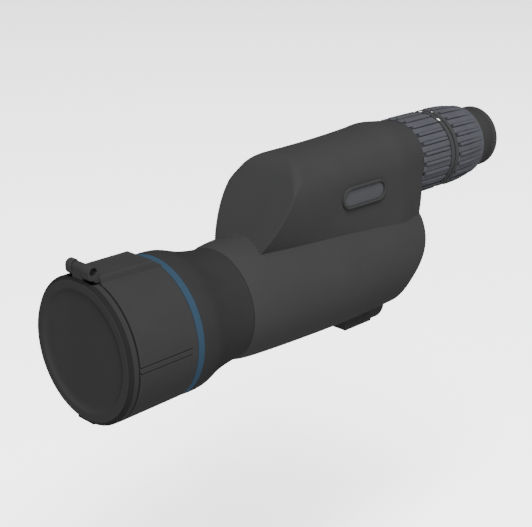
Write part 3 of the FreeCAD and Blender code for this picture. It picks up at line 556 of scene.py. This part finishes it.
def armour_rows():
    """Rows of points over the armour, front lip to the middle of the rear face."""
    angles = armour_angles()
    rows = []

    def ring(y_of, inset=0.0):
        rows.append(reach(body_field, y_of, angles, CORE_Z, FAR, inset))

    for y, inset in FRONT_LIP:
        ring(lambda z: y + 0 * z, inset)
    for y in np.arange(60.0, BEND_Y, 0.85):
        ring(lambda z: y + 0 * z)
    for lean in 1 - np.linspace(1, 0, 46) ** 1.4:
        ring(lambda z: BEND_Y + lean * (tail_y(z) - 0.5 - BEND_Y))
    for short, inset in REAR_LIP:
        ring(lambda z: tail_y(z) - short, inset)
    rim = rows[-1]
    middle_z = CORE_Z + OBJ_Z
    for scale in REAR_RINGS:
        z = middle_z + (rim[:, 2] - middle_z) * scale
        rows.append(np.stack([rim[:, 0] * scale, tail_y(z - OBJ_Z) + RING_Y, z], axis=-1))
    return rows


# ---- armour, badge, foot ------------------------------------------------------------
FOOT_HALF_X = 18.0
HEEL_START_Y, HEEL_END_Y = 14.2, RING_Y + 223.0
HEEL_BOTTOM, HEEL_TOP = 1.2, 24.0
HEEL_ROUND = 9.0


def heel():
    """Moulded heel behind the foot plate, rounded up at its end."""
    end = circle(HEEL_END_Y - HEEL_ROUND, HEEL_BOTTOM + HEEL_ROUND, HEEL_ROUND, 12, -90.0, 0.0)
    outline = [(HEEL_START_Y, HEEL_BOTTOM)] + end + [(HEEL_END_Y, HEEL_TOP), (HEEL_START_Y, HEEL_TOP)]
    return prism("heel", outline, -FOOT_HALF_X, FOOT_HALF_X, 0.9)


BADGE_Y = 177.3
BADGE_RISE = 61.6
BADGE_LENGTH = 47.0
BADGE_HEIGHT = 16.6


def badge_path(inset):
    """Slot-shaped path on the side wall: offsets along y and z from the badge's centre."""
    r = BADGE_HEIGHT / 2 - inset
    half = BADGE_LENGTH / 2 - BADGE_HEIGHT / 2
    return circle(half, 0.0, r, 26, -90.0, 90.0) + circle(-half, 0.0, r, 26, 90.0, 270.0)


def badge_row(inset, proud):
    """One ring of points that follows the wall, `proud` above it."""
    row = []
    for dy, dz in badge_path(inset):
        y, z = BADGE_Y + dy, BADGE_RISE + dz
        row.append((wall_half_width(np.array(y), np.array(z)) + proud, RING_Y + y, OBJ_Z + z))
    return row


def badge_rim():
    """Raised rim round the badge, with a rounded section."""
    section = ((-0.25, -0.6), (-0.22, 0.6), (0.0, 1.3), (0.3, 1.75), (0.7, 2.0), (1.1, 2.05), (1.5, 1.9),
               (1.8, 1.6), (1.95, 1.2), (2.0, 0.6), (2.0, -0.4))
    return skin("rim", [badge_row(inset, proud) for inset, proud in section], join_ends=True)


def badge_plate():
    """Blank plate inside the rim."""
    section = ((1.85, -0.4), (1.9, 0.3), (2.1, 0.45), (2.5, 0.5), (4.5, 0.5), (7.9, 0.5))
    return skin("badge", [badge_row(inset, proud) for inset, proud in section], cap_ends=True)


place(one_piece("armour", [skin("shell", armour_rows(), sharp=50.0), heel(), badge_rim()]),
      "housing", "armour", ARMOUR, "rubber_armour")
place(badge_plate(), "housing", "badge", BADGE, "badge_plate")


# ---- objective end ------------------------------------------------------------------
def from_ring(corners):
    """(y, r) corners measured from the accent ring's front edge."""
    return [(RING_Y + y, r) for y, r in corners]


# Flare of the neck: y behind RING_Y and radius.
NECK = np.array([
    (9.0, 49.4), (14.0, 49.25), (18.0, 48.8), (22.0, 47.7), (28.0, 45.6), (34.0, 43.8),
    (41.0, 42.3), (49.0, 41.1), (58.4, 40.2),
])


def barrel():
    """Flared neck behind the accent ring, and the fixed tube inside the sunshade."""
    flare = [(y, float(curve_through(NECK, 1, np.array(y)))) for y in np.arange(9.0, 58.5, 1.0)]
    front = [(-42.0, 47.0), (-42.0, 46.0), (-1.0, 46.0), (0.0, 46.4), (5.3, 46.4), (5.3, 48.9), (5.7, 49.25)]
    bore = [(58.4, 40.1), (58.4, 34.5), (48.0, 37.4), (27.0, 43.4), (-46.0, 43.4), (-46.0, 47.0)]
    return lathe("barrel", from_ring(front + flare + bore), OBJ_Z, 0.25)


place(barrel(), "housing", "dark_metal", BARREL, "objective_barrel")
place(lathe("accent_ring_blue", from_ring([(0.0, 46.4), (0.0, 49.0), (5.3, 49.1), (5.3, 46.4)]), OBJ_Z, 0.35),
      "housing", "accent_blue", BLUE, "accent_ring")


SHADE_FRONT, SHADE_REAR = -48.3, -0.3
SHADE_R, SHADE_TAPER = 50.1, 0.8    # radius at the front, and how much smaller at the rear
SHADE_BORE, SHADE_BORE_EDGE = 47.3, 0.3
BLOCK_TOP, BLOCK_HALF_X = 52.3, 14.9
BLOCK_FOOT = 47.2                   # height at which the block has that half width
RAMP_Y, RAMP_SLOPE = -6.0, 4.4 / 6.5            # the block's top slopes down behind RAMP_Y
GROOVES = (2.4, -2.4, 177.6, 182.4)             # degrees round the objective axis
GROOVE_R = 50.0
GROOVE_DEPTH = 0.9
GROOVE_END = -5.5                   # the grooves stop here
NICK_END = -47.4                    # in front of this they widen into a nick


def edge_drop(distance, size):
    """Rounding of an edge: `size` at the edge itself, 0 from `size` inwards."""
    return size * np.clip(1 - distance / size, 0, 1) ** 2


def shade_field(x, y, z):
    """Sunshade's outside: a turned shell with the flat-topped block on it."""
    along = (y - SHADE_FRONT) / (SHADE_REAR - SHADE_FRONT)
    radius = SHADE_R - SHADE_TAPER * along
    radius = radius - edge_drop(y - SHADE_FRONT, 0.6)
    radius = radius - edge_drop(SHADE_REAR - y, 0.5)
    shell = np.hypot(x, z) - radius
    top = BLOCK_TOP - RAMP_SLOPE * np.maximum(y - RAMP_Y, 0) - edge_drop(y - SHADE_FRONT, 0.5)
    side = np.abs(x) - (BLOCK_HALF_X - (z - BLOCK_FOOT) / 3.0)
    block = np.maximum(smooth_max(z - top, side, 0.9), 40.0 - z)
    return smooth_min(shell, block, 0.5) + GROOVE_DEPTH * groove_depth(x, y, z)


def groove_depth(x, y, z):
    """How deep the fine grooves are at a point, as a share of their depth."""
    angle = np.degrees(np.arctan2(z, x)) % 360
    turned = np.min([np.abs((angle - g + 180) % 360 - 180) for g in GROOVES], axis=0)
    off = turned * math.radians(1) * GROOVE_R
    fine = np.clip(1 - off / 0.5, 0, 1) * (y < GROOVE_END)
    nick = 1.4 * np.clip(1 - off / 0.9, 0, 1) * (y < NICK_END)
    return np.minimum(fine + nick, 1.2)


def sunshade_shell():
    """Outside of the sunshade by its field, and its plain bore."""
    angles = set(np.arange(0, 360, 1.5).round(3)) | set(np.arange(70, 110, 0.25).round(3))
    for g in GROOVES:
        angles |= set(np.arange(g - 1.6, g + 1.6, 0.12).round(3) % 360)
    angles = np.radians(np.array(sorted(angles)))
    ys = [SHADE_FRONT + d for d in (0, 0.1, 0.25, 0.45, 0.7, 0.89, 0.91, 1.5)]
    ys += list(np.linspace(SHADE_FRONT + 3, -7.0, 12)) + [-6.3, -6.05, -5.9, -5.55, -5.45, -5.0]
    ys += list(np.linspace(-4.5, -1.0, 8)) + [-0.75, -0.6, -0.45, -0.35, -0.3]
    rows = [reach(shade_field, lambda z, y=y: y + 0 * z, angles, 0.0, 60.0) for y in ys]
    flared, edge = SHADE_BORE + SHADE_BORE_EDGE, SHADE_BORE_EDGE
    bore = ((SHADE_REAR, flared), (SHADE_REAR - edge, SHADE_BORE), (SHADE_FRONT + edge, SHADE_BORE),
            (SHADE_FRONT, flared))
    for y, r in bore:
        rows.append(np.stack([r * np.cos(angles), 0 * angles + RING_Y + y, OBJ_Z + r * np.sin(angles)], -1))
    return skin("shell", rows, join_ends=True)


EAR_NEAR, EAR_FAR, ARM_HALF, ARM_GAP = 12.7, 11.2, 4.9, 0.8


def ear_outline():
    """Side view of a hinge ear: round head in front, flared back into the block."""
    head = circle(HINGE_Y, HINGE_Z, 4.1, 18, 60.0, 190.0)
    foot = [(RING_Y - 56.4, OBJ_Z + 52.6), (RING_Y - 55.2, OBJ_Z + 50.9), (RING_Y - 52.4, OBJ_Z + 50.4),
            (RING_Y - 51.2, OBJ_Z + 48.6), (RING_Y - 46.5, OBJ_Z + 48.2),
            (RING_Y - 45.8, OBJ_Z + 52.25)]
    flare = [(RING_Y - 47.0, OBJ_Z + 52.7), (RING_Y - 48.0, OBJ_Z + 54.0), (RING_Y - 48.9, OBJ_Z + 56.6)]
    return head + foot + flare


def hexagon(name, across, x0, x1):
    """Hexagonal prism on the hinge axis, `across` its flats."""
    corner_r = across / math.sqrt(3)
    return prism(name, circle(HINGE_Y, HINGE_Z, corner_r, 6), x0, x1, 0.15)


def ears():
    """Both hinge ears and their cutters; the near socket is a hexagon, the far one round."""
    near = prism("near_ear", ear_outline(), ARM_HALF + ARM_GAP, EAR_NEAR)
    far = prism("far_ear", ear_outline(), -EAR_FAR, -ARM_HALF - ARM_GAP)
    cutters = [hexagon("near_socket", 5.2, 8.7, 20.0),
               prism("far_socket", circle(HINGE_Y, HINGE_Z, 2.8), -20.0, -9.4)]
    for ear, cutter in zip((near, far), cutters):
        cut_away(ear, cutter)
        add_bevel(ear, 0.45)
    return [near, far], cutters


ear_pieces, ear_cutters = ears()
place(one_piece("sunshade_tube", [sunshade_shell()] + ear_pieces),
      "sunshade", "dark_metal", SHADE, "sunshade")
for cutter in ear_cutters:
    bpy.data.objects.remove(cutter)


def hinge_pin():
    """Round pin with a screw head."""
    shank = prism("shank", circle(HINGE_Y, HINGE_Z, 1.5), -10.8, 10.0, 0.2)
    head = prism("head", circle(HINGE_Y, HINGE_Z, 2.7), -10.9, -9.5, 0.3)
    return one_piece("hinge_pin_steel", [shank, head])


place(hinge_pin(), "sunshade", "steel", STEEL, "hinge_pin")
# The nut is a real part; its flat black coat is painted shade for the dark inside of the near hex socket.
place(hexagon("hinge_nut_steel", 5.0, 8.8, 10.2), "sunshade", "steel", BLACK, "hinge_nut")


def cover():
    """Flip-up cover: dished face, bevelled rim, plug lip, hinge arm, thumb tab."""
    face = [(-54.2, 0.3), (-54.2, 36.0), (-54.5, 38.6), (-55.2, 40.4), (-55.75, 41.2), (-56.0, 42.0),
            (-56.0, 47.0), (-53.2, 50.0), (-49.6, 50.0), (-49.6, 47.0), (-46.5, 46.6), (-46.5, 45.2),
            (-51.6, 45.2), (-51.6, 0.3)]
    disc = lathe("disc", from_ring(face), OBJ_Z, 0.35)
    gap_front, gap_back = RING_Y - 54.0, RING_Y - 40.0
    gap_foot, gap_top = OBJ_Z + 46.9, OBJ_Z + 60.0
    notch = prism("notch", [(gap_front, gap_foot), (gap_back, gap_foot), (gap_back, gap_top),
                            (gap_front, gap_top)], -12.2, 13.6)
    cut_away(disc, notch)
    arm_foot = [(RING_Y - 55.95, OBJ_Z + 45.0), (RING_Y - 53.0, OBJ_Z + 45.0), (RING_Y - 50.9, OBJ_Z + 47.2)]
    arm_head = circle(HINGE_Y, HINGE_Z, 3.45, 14, -10.0, 180.0)
    arm = prism("arm", arm_foot + arm_head, -ARM_HALF, ARM_HALF, 0.35)
    tab_front, tab_back = RING_Y - 55.6, RING_Y - 49.6
    tab = prism("tab", [(tab_front, 1.9), (tab_back, 1.6), (tab_back, 5.0), (tab_front, 5.0)], -8.0, 8.5, 0.5)
    cover_piece = one_piece("cover", [disc, arm, tab])
    bpy.data.objects.remove(notch)
    return cover_piece


place(cover(), "objective_cover", "cover_plastic", COVER, "objective_cover", "cover_plug_ring")


# ---- eyepiece -----------------------------------------------------------------------
RIDGES = 24
GRIP_R = 31.1
GRIP_BORE = 29.0
PITCH = 2 * math.pi * GRIP_R / RIDGES
RIDGE_EDGE, PAD_EDGE = 1.2, 1.7     # from a ridge's middle: its own edge, and the pad's edge
RIDGE_HEIGHT, GAP_DEPTH, PAD_DEPTH = 1.15, 0.75, 0.4
POCKET_DEPTH = 2.3                  # pockets in the ridges beside the bands
POCKET_REACH, POCKET_EDGE = 2.4, 0.25           # length along the ridge, and of its sloping end
RIDGE_MARKS = np.array((0, 0.4, 0.75, 0.95, 1.05, 1.2, 1.4, 1.6, 1.75, 1.85, 2.2, 2.8, 3.4))


def from_rear(corners):
    """(y, r) corners measured from the body's rear face."""
    return [(REAR_Y + y, r) for y, r in corners]


def ridge_section(u):
    """Rise of a grip at a distance round it from a ridge's middle: ridge, gap, pad."""
    top = np.sqrt(np.clip(1 - (u / 1.5) ** 2, 0, 1))
    ridge = (RIDGE_HEIGHT * top - 0.15) * (u < RIDGE_EDGE)
    gap = GAP_DEPTH * ((u >= RIDGE_EDGE) & (u < PAD_EDGE))
    pad = 0.1 * np.clip((u - 1.75) / 1.0, 0, 1) - PAD_DEPTH
    return np.where(u < PAD_EDGE, ridge - gap, pad)


def grip_stations(profile, bands):
    """Places along a grip: even steps, the profile's own, and the ends of every edge and pocket."""
    y0, y1 = profile[0, 0], profile[-1, 0]
    groups = [np.linspace(y0, y1, 40), profile[:, 0], [y0 + 0.15, y0 + 0.4, y1 - 0.4, y1 - 0.15]]
    flat = POCKET_REACH - POCKET_EDGE
    groups += [[b - POCKET_REACH, b - flat, b + flat, b + POCKET_REACH] for b in bands]
    return [y for y in np.unique(np.concatenate(groups)) if y0 <= y <= y1]


def grip_sleeve(name, profile, bands, fade):
    """Ribbed grip: narrow ridges between hatched pads, with pockets beside the bands."""
    offsets = np.concatenate([RIDGE_MARKS, PITCH - RIDGE_MARKS[1:][::-1]])
    around = np.concatenate([offsets + PITCH * k for k in range(RIDGES)]) / GRIP_R
    u = np.abs((np.concatenate([offsets] * RIDGES) + PITCH / 2) % PITCH - PITCH / 2)
    y0, y1 = profile[0, 0], profile[-1, 0]

    def ring(r, y):
        return np.stack([r * np.cos(around), 0 * around + REAR_Y + y, EYE_Z + r * np.sin(around)], -1)

    rows = []
    for y in grip_stations(profile, bands):
        shape = ridge_section(u) * fade(y)
        pocket = max(np.clip((POCKET_REACH - abs(y - b)) / POCKET_EDGE, 0, 1) for b in bands)
        shape = np.where(u < PAD_EDGE, shape * (1 - pocket) - POCKET_DEPTH * pocket, shape)
        ends = min(y - y0, y1 - y)
        rows.append(ring(np.interp(y, profile[:, 0], profile[:, 1]) + shape - edge_drop(ends, 0.5), y))
    rows += [ring(GRIP_BORE, y1), ring(GRIP_BORE, y0)]
    return skin(name, rows, join_ends=True, sharp=30.0)


def zoom_fade(y):
    """The zoom grip's ridges keep their height."""
    return 1.0


def focus_fade(y):
    """The focus grip's ridges sink into it towards the eyecup."""
    return 1.0 - 0.75 * np.clip((y - 62) / 16, 0, 1)


ZOOM_PROFILE = np.array([(0.9, 30.6), (35.05, 30.6)])
FOCUS_PROFILE = np.array([
    (44.25, 30.8), (52.0, 30.8), (60.0, 30.5), (68.0, 30.1), (75.0, 29.5), (80.2, 28.8),
])
place(grip_sleeve("zoom_grip", ZOOM_PROFILE, [0.9, 35.05], zoom_fade),
      "zoom_ring", "grip", GRIP, "zoom_ring_grip")
place(grip_sleeve("focus_grip", FOCUS_PROFILE, [44.25], focus_fade),
      "focus_ring", "grip", GRIP, "focus_ring_grip")


def band(name, start, end, skirt):
    """Smooth band that carries the figures, with the core that runs on under its grip."""
    return lathe(name, from_rear([(start, 30.9), (end, 30.9)] + skirt), EYE_Z, 0.12)


ZOOM_SKIRT = [(38.9, 27.6), (39.6, 27.6), (39.6, 26.1), (0.8, 26.1), (0.8, 29.3), (35.1, 29.3)]
FOCUS_SKIRT = [(44.2, 28.9), (80.2, 27.7), (80.2, 26.1), (40.4, 26.1)]
place(band("zoom_band", 35.1, 38.9, ZOOM_SKIRT), "zoom_ring", "dark_metal", BAND, "zoom_ring_core")
place(band("focus_band", 40.4, 44.2, FOCUS_SKIRT), "focus_ring", "dark_metal", BAND, "focus_ring_core")


FIGURE_HEIGHT = 2.9
FIGURE_R = 30.92
FIGURE_PROUD = 0.04
FIGURE_STEP = 35.0                  # degrees from one figure to the next


def wrapped_text(name, text, y_mid, angle):
    """Raised figures that follow a ring's surface."""
    font = bpy.data.curves.new(name, "FONT")
    font.body = text
    font.size = FIGURE_HEIGHT
    font.align_x = "CENTER"
    font.align_y = "CENTER"
    font.extrude = FIGURE_PROUD
    font.resolution_u = 4
    flat = bpy.data.objects.new(name, font)
    bpy.context.scene.collection.objects.link(flat)
    mesh = flat.evaluated_get(bpy.context.evaluated_depsgraph_get()).to_mesh()
    points = []
    for v in mesh.vertices:
        turn = math.radians(angle) - v.co.x / FIGURE_R
        r = FIGURE_R + v.co.z
        points.append((r * math.cos(turn), y_mid - v.co.y, EYE_Z + r * math.sin(turn)))
    faces = [tuple(f.vertices) for f in mesh.polygons]
    flat.to_mesh_clear()
    bpy.data.objects.remove(flat)
    return mesh_piece(name, points, faces)


def scale_marks(name, words, y_mid, first):
    """Figures round a band, the first of them at `first` degrees."""
    return one_piece(name, [wrapped_text(name, word, y_mid, first + FIGURE_STEP * k)
                            for k, word in enumerate(words)])


ZOOM_WORDS = ("20", "30", "40", "50", "60")
FOCUS_WORDS = ("+", "0", "-")
place(scale_marks("zoom_figures", ZOOM_WORDS, REAR_Y + 37.0, 62.0), "zoom_ring", "dark_metal", INK)
place(scale_marks("focus_figures", FOCUS_WORDS, REAR_Y + 42.3, 83.0), "focus_ring", "dark_metal", INK)


def eyecup():
    """Soft cup: shoulder, waist and rolled lip."""
    shoulder = [(81.0, 27.3), (81.5, 27.8), (84.2, 27.3), (88.2, 26.4), (92.2, 25.4), (96.2, 24.3),
                (99.2, 23.4), (100.3, 23.0)]
    lip = [(100.9, 24.2), (102.4, 24.9), (104.2, 24.8), (105.2, 24.3), (105.9, 23.6), (106.2, 22.9),
           (106.0, 21.9), (105.2, 21.0), (104.0, 20.5), (103.1, 20.6)]
    bore = [(103.1, 22.85), (81.0, 22.85)]
    return lathe("eyecup", from_rear(shoulder + lip + bore), EYE_Z, 0.45)


place(eyecup(), "eyecup", "soft_cup", CUP, "eyecup_rubber")

# ---- CAD nodes that stay ------------------------------------------------------------
for name, node in frame["nodes"].items():
    if not node.hide_render:
        slot_name = next(s["material_slot"] for s in frame["record"]["subparts"] if s["node"] == name)
        finish = FRONT_GLASS if name == "objective_front_lens" else SLOT_FINISH[slot_name]
        node.data.materials.clear()
        node.data.materials.append(finish)

# ---- floor, light and camera --------------------------------------------------------
# Places and sizes from here on are in metres.
FLOOR_Z = -0.30
FLOOR_HALF = 4.0
KEY_AT, KEY_AIM = (2.9, -2.1, 5.1), (0.0, -0.04, 0.07)
KEY_SIZE, KEY_POWER = 3.6, 2150.0
SKY_COLOUR, SKY_STRENGTH = (0.90, 0.90, 0.90, 1), 1.85
CAMERA_AT, CAMERA_AIM = (0.57343, -0.65610, 0.36284), (0.04439, -0.12706, 0.09052)
CAMERA_LENS, CAMERA_SENSOR = 81.24, 36.0        # millimetres


def floor():
    """Plain pale floor, well below the object."""
    spots = np.linspace(-FLOOR_HALF, FLOOR_HALF, 41)
    rows = [[(x / MM, y / MM, FLOOR_Z / MM) for x in spots] for y in spots]
    piece = skin("floor", rows, round_rows=False)
    n = Nodes("floor_paint")
    paint = n.tint(n.noise(0.0006), (0.80, 0.80, 0.80), 0.01)
    piece.data.materials.append(n.link(Base_Color=paint, Roughness=0.95, Specular_IOR_Level=MATT))


def turn_to(thing, target):
    """Turn a light or a camera from where it stands towards a point."""
    thing.rotation_euler = (Vector(target) - thing.location).to_track_quat("-Z", "Y").to_euler()


def key_light():
    """One large soft light."""
    light = bpy.data.lights.new("soft_key", "AREA")
    light.shape = "DISK"
    light.size = KEY_SIZE
    light.energy = KEY_POWER
    lamp = bpy.data.objects.new("soft_key", light)
    lamp.location = KEY_AT
    turn_to(lamp, KEY_AIM)
    bpy.context.scene.collection.objects.link(lamp)


def sky():
    """Even pale surroundings."""
    world = bpy.data.worlds.new("soft_sky")
    world.use_nodes = True
    background = world.node_tree.nodes["Background"]
    background.inputs["Color"].default_value = SKY_COLOUR
    background.inputs["Strength"].default_value = SKY_STRENGTH
    bpy.context.scene.world = world


def place_camera():
    """Camera in front of the cover, on the badge's side, and above it."""
    camera = bpy.data.objects.new("camera", bpy.data.cameras.new("camera"))
    camera.data.lens = CAMERA_LENS
    camera.data.sensor_width = CAMERA_SENSOR
    camera.data.clip_start = 0.05
    camera.data.clip_end = 20.0
    camera.location = CAMERA_AT
    turn_to(camera, CAMERA_AIM)
    bpy.context.scene.collection.objects.link(camera)
    bpy.context.scene.camera = camera


floor()
key_light()
sky()
place_camera()
